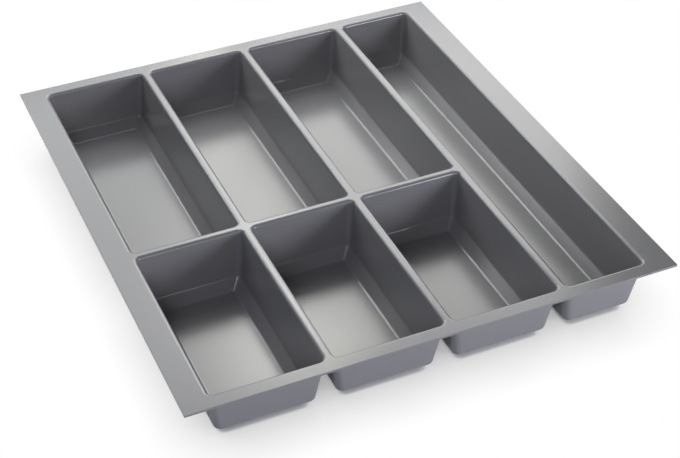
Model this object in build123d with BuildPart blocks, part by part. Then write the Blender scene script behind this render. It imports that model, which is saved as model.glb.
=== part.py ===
from build123d import *
import os
from math import cos, radians, sin, tan

os.makedirs("parts", exist_ok=True)

# Drawer tray formed from one plastic sheet. All lengths are in millimetres, all angles in degrees.
# The origin is the middle of the footprint, on the surface the tray stands on.
# +X is to the right, where the long pocket is, and +Y is to the back.

# The whole sheet
tray_width = 420
tray_depth = 472
tray_height = 52.5
sheet = 2

# Flat rim, from the cut edge to the mouth line of the nearest pocket
side_rim = 23.2
front_rim = 13.1
back_rim = 12.4

# Dividers between pockets, from mouth line to mouth line
divider = 7.6
flat_share = 0.1  # the least part of a divider's width that stays flat between its two bends

# Pockets: three equal columns with two rows, and one narrow column with a single long pocket
wide_columns = 3
narrow_width = 71
front_length = 176.4

# Walls of a pocket, going down from its mouth line. Slopes are measured from upright.
wall_draft = 9
bevel = 8.4
bevel_slope = 45
floor_slope = 90

# Upright corners of a pocket, seen from above
mouth_corner = 5
foot_corner = 4
floor_corner = 2

# Bends of the sheet, as radii on the tight side. The other side has this plus the sheet.
mouth_bend = 1
foot_bend = 4
floor_bend = 3

# Faces and edges are picked by their height, give or take this much
height_slack = 0.01

# Worked out from the sizes above
all_dividers = wide_columns * divider
wide_width = (tray_width - 2 * side_rim - all_dividers - narrow_width) / wide_columns
back_length = tray_depth - front_rim - front_length - divider - back_rim
full_length = tray_depth - front_rim - back_rim
rim_underside = tray_height - sheet
foot_height = sheet + bevel / tan(radians(bevel_slope))
foot_inset = (tray_height - foot_height) * tan(radians(wall_draft))
floor_inset = foot_inset + bevel

# The bends on a divider meet before they use up its width, so a narrow divider gets smaller ones
bend_reach = tan(radians((floor_slope - wall_draft) / 2))
widest_round = (1 - flat_share) * divider / 2 / bend_reach
mouth_round = min(mouth_bend + sheet, widest_round)


def outer_corner(inset, height, upper_slope, lower_slope):
    """Move a corner of the inner profile out by the sheet, square to both of its walls."""
    upper, lower = radians(upper_slope), radians(lower_slope)
    outward = sheet * (sin(lower) - sin(upper)) / sin(lower - upper)
    down = sheet * (cos(upper) - cos(lower)) / sin(lower - upper)
    return inset - outward, height - down


def pocket_places():
    """List each pocket as centre x, centre y, width and length at its mouth line."""
    front_edge = -tray_depth / 2 + front_rim
    back_edge = tray_depth / 2 - back_rim
    left = -tray_width / 2 + side_rim
    places = []
    for column in range(wide_columns):
        middle = left + wide_width / 2 + column * (wide_width + divider)
        places.append((middle, front_edge + front_length / 2, wide_width, front_length))
        places.append((middle, back_edge - back_length / 2, wide_width, back_length))
    right = tray_width / 2 - side_rim
    middle_of_rows = (front_edge + back_edge) / 2
    places.append((right - narrow_width / 2, middle_of_rows, narrow_width, full_length))
    return places


def pocket_sections(place, levels):
    """Draw one side of a pocket as rounded rectangles, from its mouth to its floor."""
    x, y, width, length = place
    sections = []
    for inset, height, corner in levels:
        with BuildSketch(Plane.XY.offset(height)) as section:
            with Locations((x, y)):
                RectangleRounded(width - 2 * inset, length - 2 * inset, corner)
        sections.append(section.sketch.face())
    return sections


def at_height(shapes, height):
    """Keep the faces or edges that lie level at this height."""
    return shapes.filter_by_position(Axis.Z, height - height_slack, height + height_slack)


outer_mouth_inset = sheet * tan(radians(wall_draft)) - sheet / cos(radians(wall_draft))
outer_foot_inset, outer_foot_height = outer_corner(foot_inset, foot_height, wall_draft, bevel_slope)
outer_floor_inset, base_height = outer_corner(floor_inset, sheet, bevel_slope, floor_slope)

inner_levels = [
    (0, tray_height, mouth_corner),
    (foot_inset, foot_height, foot_corner),
    (floor_inset, sheet, floor_corner),
]
outer_levels = [
    (outer_mouth_inset, rim_underside, mouth_corner + sheet),
    (outer_foot_inset, outer_foot_height, foot_corner + sheet),
    (outer_floor_inset, base_height, floor_corner + sheet),
]

with BuildPart() as tray:
    with BuildSketch(Plane.XY.offset(rim_underside)):
        Rectangle(tray_width, tray_depth)
    extrude(amount=sheet)
    for place in pocket_places():
        loft(pocket_sections(place, outer_levels), ruled=True)
    for place in pocket_places():
        loft(pocket_sections(place, inner_levels), ruled=True, mode=Mode.SUBTRACT)

    # Both sides of each bend turn about the same line, so the sheet keeps its thickness
    for height, radius in [(tray_height, mouth_round), (rim_underside, mouth_round - sheet)]:
        rim_face = at_height(tray.faces(), height)[0]
        fillet(rim_face.inner_wires().edges(), radius)
    for height, radius in [
        (foot_height, foot_bend),
        (sheet, floor_bend),
        (outer_foot_height, foot_bend + sheet),
        (base_height, floor_bend + sheet),
    ]:
        fillet(at_height(tray.edges(), height), radius)

tray.part.label = "tray"
export_step(tray.part, "parts/tray.step")
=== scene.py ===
import math
import bmesh
import bpy
import numpy as np
from mathutils import Matrix, Vector
from mathutils.geometry import delaunay_2d_cdt


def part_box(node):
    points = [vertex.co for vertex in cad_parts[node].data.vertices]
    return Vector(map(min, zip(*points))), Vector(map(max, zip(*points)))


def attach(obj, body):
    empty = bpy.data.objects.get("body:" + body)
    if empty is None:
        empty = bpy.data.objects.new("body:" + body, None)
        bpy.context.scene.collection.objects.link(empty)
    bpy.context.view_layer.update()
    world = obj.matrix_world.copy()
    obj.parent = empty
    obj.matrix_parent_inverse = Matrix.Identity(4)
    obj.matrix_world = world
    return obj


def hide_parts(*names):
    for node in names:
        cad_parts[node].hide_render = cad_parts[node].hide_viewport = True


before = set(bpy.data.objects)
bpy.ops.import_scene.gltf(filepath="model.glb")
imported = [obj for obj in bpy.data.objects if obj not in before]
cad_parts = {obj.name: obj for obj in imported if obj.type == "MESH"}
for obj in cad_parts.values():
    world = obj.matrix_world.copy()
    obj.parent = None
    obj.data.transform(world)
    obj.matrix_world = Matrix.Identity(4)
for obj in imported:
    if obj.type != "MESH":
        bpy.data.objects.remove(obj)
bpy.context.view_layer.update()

trayLow, trayHigh = (np.array(corner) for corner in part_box("tray"))
print("frame loaded, tray is", np.round(trayHigh - trayLow, 4), "m")


# Camera: looks down on the tray from the front left, fitted to the four corners of its rim
view = {
    "azimuth": -23.05, "elevation": 37.62, "roll": 0.93,  # degrees
    "distance": 1.37046,    # along the view, to the middle of the rim
    "rimAside": -0.01487,   # the rim's middle lies this far to the right of the lens axis
    "rimBelow": -0.04908,   # and this far below it
    "focalPixels": 1567, "imageWidth": 680, "sensor": 36, "farthest": 20,
}


def addCamera():
    az, el, roll = (math.radians(view[key]) for key in ("azimuth", "elevation", "roll"))
    backward = Vector((math.sin(az) * math.cos(el), -math.cos(az) * math.cos(el), math.sin(el)))
    levelRight = Vector((math.cos(az), math.sin(az), 0))
    levelUp = backward.cross(levelRight)
    right = levelRight * math.cos(roll) - levelUp * math.sin(roll)
    up = levelRight * math.sin(roll) + levelUp * math.cos(roll)
    place = Vector((0, 0, trayHigh[2])) + backward * view["distance"]
    place -= right * view["rimAside"] - up * view["rimBelow"]
    lens = bpy.data.cameras.new("camera")
    lens.sensor_width = view["sensor"]
    lens.lens = view["focalPixels"] * view["sensor"] / view["imageWidth"]
    lens.clip_end = view["farthest"]
    camera = bpy.data.objects.new("camera", lens)
    bpy.context.scene.collection.objects.link(camera)
    turned = Matrix((right, up, backward)).transposed()
    camera.matrix_world = Matrix.Translation(place) @ turned.to_4x4()
    bpy.context.scene.camera = camera


addCamera()
print("camera placed")


# Tray: one formed sheet. All sizes in metres, insets counted inwards from a pocket's mouth line
tray = {
    "sheet": 0.002,
    "sideRim": 0.0232, "frontRim": 0.0131, "backRim": 0.0124, "divider": 0.0076,
    "wideColumns": 3, "narrowWidth": 0.071, "frontLength": 0.1764,
    "wallDraft": 9, "bevelSlope": 45,    # degrees from upright
    "bevel": 0.0084,
    "mouthCorner": 0.005, "footCorner": 0.004, "floorCorner": 0.002,
    "mouthRound": 0.003, "footRound": 0.004, "floorRound": 0.003,
    "guard": 0.0002,        # flat band beside each rounded edge, so that flats shade flat
    "cornerSteps": 14, "arcSteps": 9, "wallSteps": 6, "sideStep": 0.012,
    "sharpFrom": 30,        # degrees between faces from which an edge shades sharp
    "merge": 1e-6, "flatMerge": 1e-7, "leastArea": 1e-14,
}


def pocketPlaces():
    # centre x, centre y, width and length of every pocket at its mouth line
    front, back = trayLow[1] + tray["frontRim"], trayHigh[1] - tray["backRim"]
    left, right = trayLow[0] + tray["sideRim"], trayHigh[0] - tray["sideRim"]
    columns, gap = tray["wideColumns"], tray["divider"]
    wide = (right - left - tray["narrowWidth"] - columns * gap) / columns
    backLength = back - front - tray["frontLength"] - gap
    middles = left + wide / 2 + np.arange(columns) * (wide + gap)
    frontRow = [(x, front + tray["frontLength"] / 2, wide, tray["frontLength"]) for x in middles]
    backRow = [(x, back - backLength / 2, wide, backLength) for x in middles]
    narrow = (right - tray["narrowWidth"] / 2, (front + back) / 2, tray["narrowWidth"], back - front)
    return frontRow + backRow + [narrow]


def arc(centre, radius, fromAngle, toAngle, steps):
    # points centre + radius * (sin a, cos a), with the unit normal that the arc turns about
    a = np.radians(np.linspace(fromAngle, toAngle, steps + 1))[:, None]
    spoke = np.hstack([np.sin(a), np.cos(a)])
    return centre + radius * spoke, spoke


def pocketProfile():
    # The inside of a pocket from the rim to its floor, as points of inset and height with the
    # normals that face the air: a convex arc at the mouth, the wall, a hollow arc, the bevel,
    # a hollow arc and the floor. Each arc touches the straight stretches beside it.
    top, bottom = trayHigh[2], trayLow[2] + tray["sheet"]
    draft, slope = tray["wallDraft"], tray["bevelSlope"]
    footHeight = bottom + tray["bevel"] / math.tan(math.radians(slope))
    footInset = (top - footHeight) * math.tan(math.radians(draft))
    foot = np.array([footInset, footHeight])
    floor = np.array([footInset + tray["bevel"], bottom])
    start = -tray["mouthRound"] * math.tan(math.radians(90 - draft) / 2)

    # The arc at a hollow corner: its centre lies off both lines by the radius
    def hollow(corner, radius, upper, lower):
        half = math.radians(lower - upper) / 2
        middle = math.radians((upper + lower) / 2)
        towardsAir = np.array([math.cos(middle), math.sin(middle)])
        centre = corner + towardsAir * radius / math.cos(half)
        points, spoke = arc(centre, radius, 270 - upper, 270 - lower, tray["arcSteps"])
        return points, -spoke

    mouth, mouthNormal = arc(np.array([start, top - tray["mouthRound"]]), tray["mouthRound"],
                             0, 90 - draft, tray["arcSteps"] * 2)
    footArc, footNormal = hollow(foot, tray["footRound"], draft, slope)
    floorArc, floorNormal = hollow(floor, tray["floorRound"], slope, 90)
    share = np.linspace(0, 1, tray["wallSteps"] + 1)[1:-1, None]
    wall = mouth[-1] * (1 - share) + footArc[0] * share
    wallNormal = np.repeat(mouthNormal[-1:], len(wall), axis=0)
    rimGuard = mouth[:1] - [[tray["guard"], 0]]
    floorGuard = floorArc[-1:] + [[tray["guard"], 0]]
    points = np.vstack([rimGuard, mouth, wall, footArc, floorArc, floorGuard])
    normals = np.vstack([mouthNormal[:1], mouthNormal, wallNormal,
                         footNormal, floorNormal, floorNormal[-1:]])

    # Plan radius of the corners: read off at the height of the sharp profile, then grown by how
    # far the point lies outside that sharp profile
    sharpHeight = [bottom, footHeight, top]
    sharpInset = np.interp(points[:, 1], sharpHeight, [floor[0], foot[0], 0])
    sharpCorner = np.interp(points[:, 1], sharpHeight,
                            [tray["floorCorner"], tray["footCorner"], tray["mouthCorner"]])
    return points, normals, sharpCorner + sharpInset - points[:, 0]


def roundedLoop(place, inset, corner, height):
    # Rings of rounded rectangles, one row for each inset. A point is the centre of its corner's
    # arc plus the radius along a spoke, and points on a straight side mix the two ends of it.
    x, y, width, length = place
    acrossSteps = max(2, round(width / tray["sideStep"]))
    alongSteps = max(2, round(length / tray["sideStep"]))
    a = np.radians(np.linspace(0, 90, tray["cornerSteps"] + 1))
    signX, signY, spokeX, spokeY = [], [], [], []
    corners = [(1, 1), (-1, 1), (-1, -1), (1, -1)]
    for turn, (sideX, sideY) in enumerate(corners):
        nextX, nextY = corners[(turn + 1) % 4]
        angle = a + turn * math.pi / 2
        steps = acrossSteps if turn % 2 == 0 else alongSteps
        t = np.linspace(0, 1, steps + 1)[1:-1]
        signX += [np.full(len(a), sideX), sideX + (nextX - sideX) * t]
        signY += [np.full(len(a), sideY), sideY + (nextY - sideY) * t]
        spokeX += [np.cos(angle), np.full(len(t), np.cos(angle[-1]))]
        spokeY += [np.sin(angle), np.full(len(t), np.sin(angle[-1]))]
    signX, signY = np.concatenate(signX), np.concatenate(signY)
    spokeX, spokeY = np.concatenate(spokeX), np.concatenate(spokeY)
    inset, corner, height = (part[:, None] for part in (inset, corner, height))
    ringX = x + signX * (width / 2 - inset - corner) + spokeX * corner
    ringY = y + signY * (length / 2 - inset - corner) + spokeY * corner
    return np.stack([ringX, ringY, np.broadcast_to(height, ringX.shape)], axis=-1)


def ringFaces(rows, columns, first, flip):
    # quads between neighbouring rings, closed round each ring
    index = first + np.arange(rows * columns).reshape(rows, columns)
    nextColumn = np.roll(index, -1, axis=1)
    quads = np.stack([index[:-1], nextColumn[:-1], nextColumn[1:], index[1:]], axis=-1)
    quads = quads.reshape(-1, 4)
    return quads[:, ::-1] if flip else quads


def fillFlat(loops, height, keepInside, flip):
    # triangles of a flat face at one height, either inside the loops or between them all
    flat = np.vstack(loops)
    ends = np.cumsum([len(loop) for loop in loops])
    edges = []
    for loop, end in zip(loops, ends):
        index = np.arange(end - len(loop), end)
        edges += list(zip(index.tolist(), np.roll(index, -1).tolist()))
    result = delaunay_2d_cdt([Vector(point) for point in flat.tolist()], edges, [],
                             1 if keepInside else 0, tray["flatMerge"])
    points = np.array([tuple(point) for point in result[0]])
    faces = np.array([tuple(face) for face in result[2]])
    if not keepInside:
        # a triangle belongs to a pocket's opening if all its corners are on that pocket's loop
        owner = np.array([origin[0] if origin else -1 for origin in result[3]])
        loopOf = np.searchsorted(ends, owner, side="right")[faces]
        same = (loopOf == loopOf[:, :1]).all(axis=1) & (loopOf[:, 0] > 0)
        faces = faces[~same]
    points = np.column_stack([points, np.full(len(points), height)])
    a, b, c = (points[faces[:, k]][:, :2] for k in range(3))
    ab, ac = b - a, c - a
    cross = ab[:, 0] * ac[:, 1] - ab[:, 1] * ac[:, 0]    # twice the area, positive anticlockwise
    real = np.abs(cross) > tray["leastArea"]
    faces, turned = faces[real], (cross[real] > 0) == flip
    faces[turned] = faces[turned][:, ::-1]
    return points, faces


def rimLoop():
    # the cut edge of the rim in plan, with a point every few centimetres
    low, high = trayLow[:2], trayHigh[:2]
    corners = np.array([low, (high[0], low[1]), high, (low[0], high[1])])
    sides = []
    for start, end in zip(corners, np.roll(corners, -1, axis=0)):
        steps = max(2, round(np.linalg.norm(end - start) / tray["sideStep"]))
        sides.append(start + (end - start) * np.arange(steps)[:, None] / steps)
    return np.vstack(sides)


def makeMesh(name, pieces):
    # pieces are pairs of points and faces; meeting points are merged so that the sheet is closed
    mesh = bpy.data.meshes.new(name)
    points = np.vstack([piece[0] for piece in pieces])
    faces, first = [], 0
    for piecePoints, pieceFaces in pieces:
        faces += (pieceFaces + first).tolist()
        first += len(piecePoints)
    mesh.from_pydata(points.tolist(), [], faces)
    work = bmesh.new()
    work.from_mesh(mesh)
    bmesh.ops.remove_doubles(work, verts=work.verts, dist=tray["merge"])
    work.to_mesh(mesh)
    work.free()
    mesh.shade_smooth()
    mesh.set_sharp_from_angle(angle=math.radians(tray["sharpFrom"]))
    piece = bpy.data.objects.new(name, mesh)
    bpy.context.scene.collection.objects.link(piece)
    return piece


def makeTray():
    points, normals, corner = pocketProfile()
    under = points - normals * tray["sheet"]
    underCorner = corner + points[:, 0] - under[:, 0]
    pieces, mouths, floors, underFloors = [], [], [], []
    for place in pocketPlaces():
        inner = roundedLoop(place, points[:, 0], corner, points[:, 1])
        outer = roundedLoop(place, under[:, 0], underCorner, under[:, 1])
        rows, columns = inner.shape[:2]
        pieces.append((inner.reshape(-1, 3), ringFaces(rows, columns, 0, False)))
        pieces.append((outer.reshape(-1, 3), ringFaces(rows, columns, 0, True)))
        mouths.append(inner[0, :, :2])
        floors.append(inner[-1, :, :2])
        underFloors.append(outer[-1, :, :2])
    edge = rimLoop()
    top, underside = trayHigh[2], trayHigh[2] - tray["sheet"]
    pieces.append(fillFlat([edge] + mouths, top, False, False))
    pieces.append(fillFlat([edge] + mouths, underside, False, True))
    pieces.append(fillFlat(floors, trayLow[2] + tray["sheet"], True, False))
    pieces.append(fillFlat(underFloors, trayLow[2], True, True))
    cutEdge = np.stack([np.column_stack([edge, np.full(len(edge), z)]) for z in (underside, top)])
    pieces.append((cutEdge.reshape(-1, 3), ringFaces(2, len(edge), 0, False)))
    return makeMesh("tray_sheet", pieces)


sheetPiece = makeTray()
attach(sheetPiece, "root")
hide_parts("tray")
print("tray sheet made,", len(sheetPiece.data.polygons), "faces")


# Wraps a shader socket, so that maths on it reads as plain sums
class Value:
    def __init__(self, tree, socket):
        self.tree, self.socket = tree, socket

    def maths(self, operation, other, swapped=False):
        node = self.tree.nodes.new("ShaderNodeMath")
        node.operation = operation
        ends = (other, self) if swapped else (self, other)
        for slot, end in zip(node.inputs, ends):
            if isinstance(end, Value):
                self.tree.links.new(end.socket, slot)
            else:
                slot.default_value = end
        return Value(self.tree, node.outputs[0])

    def __add__(self, other): return self.maths("ADD", other)
    def __radd__(self, other): return self.maths("ADD", other, True)
    def __sub__(self, other): return self.maths("SUBTRACT", other)
    def __rsub__(self, other): return self.maths("SUBTRACT", other, True)
    def __mul__(self, other): return self.maths("MULTIPLY", other)
    def __rmul__(self, other): return self.maths("MULTIPLY", other, True)


# Adds nodes to one tree of a material or world
class Nodes:
    def __init__(self, tree):
        self.tree = tree

    def feed(self, socket, value):
        if isinstance(value, Value):
            self.tree.links.new(value.socket, socket)
        else:
            socket.default_value = value

    def node(self, kind, settings=(), output=0, ordered=(), **named):
        # any node: its settings first, then the values or links of its sockets
        node = self.tree.nodes.new(kind)
        for key, value in settings:
            setattr(node, key, value)
        for socket, value in zip(node.inputs, ordered):
            self.feed(socket, value)
        self.set(node, **named)
        return Value(self.tree, node.outputs[output])

    def set(self, node, **named):
        for key, value in named.items():
            self.feed(node.inputs[key.replace("_", " ")], value)


def newMaterial(name):
    material = bpy.data.materials.new(name)
    material.use_nodes = True
    tree = material.node_tree
    return material, Nodes(tree), tree.nodes["Principled BSDF"]


# Satin grey plastic: a fine even grain, and slow changes of gloss over the sheet
plastic = {
    "colour": (0.15, 0.15, 0.152, 1), "roughness": 0.22, "roughnessChange": 0.05, "ior": 1.5,
    "grainScale": 1600, "grainDepth": 0.00002, "grainDetail": 2,
    "waveScale": 14, "waveDepth": 0.00005, "waveDetail": 1,
}


def satinPlastic():
    material, nodes, shader = newMaterial("satin_grey_plastic")
    place = nodes.node("ShaderNodeTexCoord", output="Object")
    grain = nodes.node("ShaderNodeTexNoise", Vector=place, Scale=plastic["grainScale"],
                       Detail=plastic["grainDetail"])
    wave = nodes.node("ShaderNodeTexNoise", Vector=place, Scale=plastic["waveScale"],
                      Detail=plastic["waveDetail"])
    waveBump = nodes.node("ShaderNodeBump", Height=wave, Distance=plastic["waveDepth"], Strength=1)
    grainBump = nodes.node("ShaderNodeBump", Height=grain, Distance=plastic["grainDepth"],
                           Strength=1, Normal=waveBump)
    nodes.set(shader, Base_Color=plastic["colour"], IOR=plastic["ior"], Normal=grainBump,
              Roughness=plastic["roughness"] + (wave - 0.5) * plastic["roughnessChange"])
    return material


sheetPiece.data.materials.append(satinPlastic())
print("plastic made")


# Ground: white to the camera, except close to the tray, where occlusion masks paint shade by mixing
# in a darker surface, which also takes the lamps' real shadow of the tray. To the light it is a
# plain pale surface.
# The reaches say how far from the tray the painted shade and the painted contact shadow at the
# pocket feet go.
ground = {
    "size": 12, "colour": (0.9, 0.9, 0.9, 1), "paintedShadeColour": (0.48, 0.476, 0.44, 1),
    "paintedShadeReach": 0.05, "paintedShadeShare": 0.7, "paintedContactReach": 0.004,
}


def addGround():
    half = ground["size"] / 2
    corners = [(-half, -half, 0), (half, -half, 0), (half, half, 0), (-half, half, 0)]
    mesh = bpy.data.meshes.new("ground")
    mesh.from_pydata(corners, [], [(0, 1, 2, 3)])
    piece = bpy.data.objects.new("ground", mesh)
    bpy.context.scene.collection.objects.link(piece)
    material, nodes, shader = newMaterial("white_ground")
    nodes.set(shader, Base_Color=ground["colour"], Roughness=1)
    camera = nodes.node("ShaderNodeLightPath", output="Is Camera Ray")
    # painted shade near the tray and a painted contact shadow at the pocket feet, from two occlusion
    # masks
    near, touch = (nodes.node("ShaderNodeAmbientOcclusion", output="AO", Distance=ground[key])
                   for key in ("paintedShadeReach", "paintedContactReach"))
    whiteShare = (1 - (1 - near) * ground["paintedShadeShare"]) * touch * touch
    # the darker colour of the painted shade; it is lit by the lamps, so it also keeps their real
    # shadow
    shade = nodes.node("ShaderNodeBsdfDiffuse", Color=ground["paintedShadeColour"])
    white = nodes.node("ShaderNodeEmission", Strength=1)
    seen = nodes.node("ShaderNodeMixShader", ordered=(whiteShare, shade, white))
    lit = Value(nodes.tree, shader.outputs[0])
    mixed = nodes.node("ShaderNodeMixShader", ordered=(camera, lit, seen))
    nodes.set(nodes.tree.nodes["Material Output"], Surface=mixed)
    mesh.materials.append(material)


# Lights: area lamps by their place in metres, each facing the tray.
# A lamp without a size is a small square one.
smallLamp = (0.28, 0.28)
lights = {
    "key": {"place": (0.38, 0.68, 0.6), "size": (0.64, 0.45),
            "power": 2.95, "colour": (0.99, 1, 0.9)},
    "keyLeft": {"place": (-0.1, 0.605, 0.6), "size": (0.64, 0.6),
                "power": 2.46, "colour": (0.97, 1, 0.93)},
    "nearLeft": {"place": (-0.07, 0.363, 0.35), "size": (0.345, 0.42),
                 "power": 0.76, "colour": (0.93, 0.92, 1)},
    "nearRight": {"place": (0.245, 0.34, 0.35), "size": (0.4, 0.47),
                  "power": 1.21, "colour": (0.92, 0.92, 1)},
    "farLeft": {"place": (-0.42, 1, 0.88), "size": (0.12, 0.4),
                "power": 2.07, "colour": (0.92, 0.95, 1)},
    "sideLeft": {"place": (-0.68, 0.83, 0.58), "power": 1.03, "colour": (0.95, 0.97, 1)},
    "far": {"place": (0.278, 0.764, 0.955), "size": (0.2, 0.1),
            "power": 0.76, "colour": (1, 0.97, 0.87)},
    "lowRight": {"place": (0.565, -0.905, 0.266), "power": 8.24, "colour": (0.87, 0.87, 1)},
    "lowBack": {"place": (0.755, 0.755, 0.266), "power": 0.71, "colour": (1, 1, 0.95)},
    "lowFront": {"place": (0, -1.067, 0.266), "power": 1.31, "colour": (0.98, 1, 0.97)},
    "lowLeft": {"place": (-0.755, -0.755, 0.266), "power": 0.65, "colour": (0.6, 0.75, 1)},
    "front": {"place": (-0.476, -0.825, 0.55), "power": 2.0, "colour": (0.8, 0.8, 1)},
    "frontHigh": {"place": (-0.495, -0.416, 0.89), "power": 1.3, "colour": (1, 0.97, 0.97)},
    "overhead": {"place": (0, 0.447, 1.005), "power": 0.31, "colour": (0.9, 0.93, 1)},
}
lightAim = Vector((0, 0, 0.02))


def addLight(name, setting):
    place = Vector(setting["place"])
    lamp = bpy.data.lights.new(name, "AREA")
    lamp.shape = "RECTANGLE"
    lamp.size, lamp.size_y = setting.get("size", smallLamp)
    lamp.energy = setting["power"]
    lamp.color = setting["colour"]
    holder = bpy.data.objects.new(name, lamp)
    bpy.context.scene.collection.objects.link(holder)
    turn = (place - lightAim).to_track_quat("Z", "Y").to_matrix().to_4x4()
    holder.matrix_world = Matrix.Translation(place) @ turn


# World: white to the camera, a faint even fill to everything else
worldFill = 0.03


def addWorld():
    world = bpy.data.worlds.new("studio")
    bpy.context.scene.world = world
    world.use_nodes = True
    nodes = Nodes(world.node_tree)
    camera = nodes.node("ShaderNodeLightPath", output="Is Camera Ray")
    nodes.set(world.node_tree.nodes["Background"], Color=(1, 1, 1, 1),
              Strength=worldFill + camera * (1 - worldFill))


addGround()
for lightName, lightSetting in lights.items():
    addLight(lightName, lightSetting)
addWorld()
bpy.context.scene.view_settings.view_transform = "Standard"
print("stage lit")
